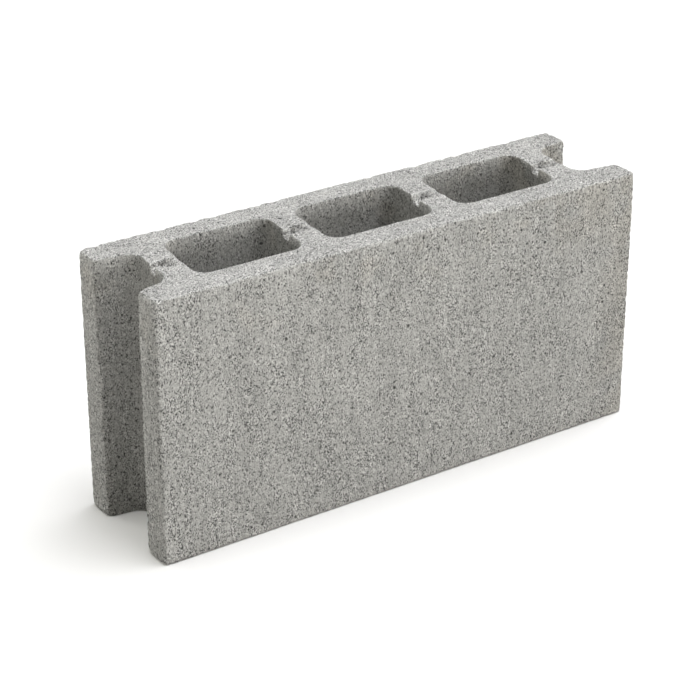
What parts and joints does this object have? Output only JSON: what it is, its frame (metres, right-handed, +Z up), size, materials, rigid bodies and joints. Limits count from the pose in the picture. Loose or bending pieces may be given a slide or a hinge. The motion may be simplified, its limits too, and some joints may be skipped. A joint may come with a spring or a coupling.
{
  "type": "hollow concrete block",
  "caption": "Hollow concrete masonry block with tapered through cores, an open recess in each end and a shallow bar groove across the web tops.",
  "frame": {"origin": "centre of the bed face, on the plane that the block stands on", "axes": "+X along the block's length, +Y through its thickness, +Z up from the bed to the grooved top"},
  "size_m": [0.39, 0.1, 0.19],
  "materials": {
    "concrete": "dry-cast grey concrete, fine open grain, matt"
  },
  "bodies": {
    "root": {"concrete_block": "concrete"}
  },
  "joints": []
}
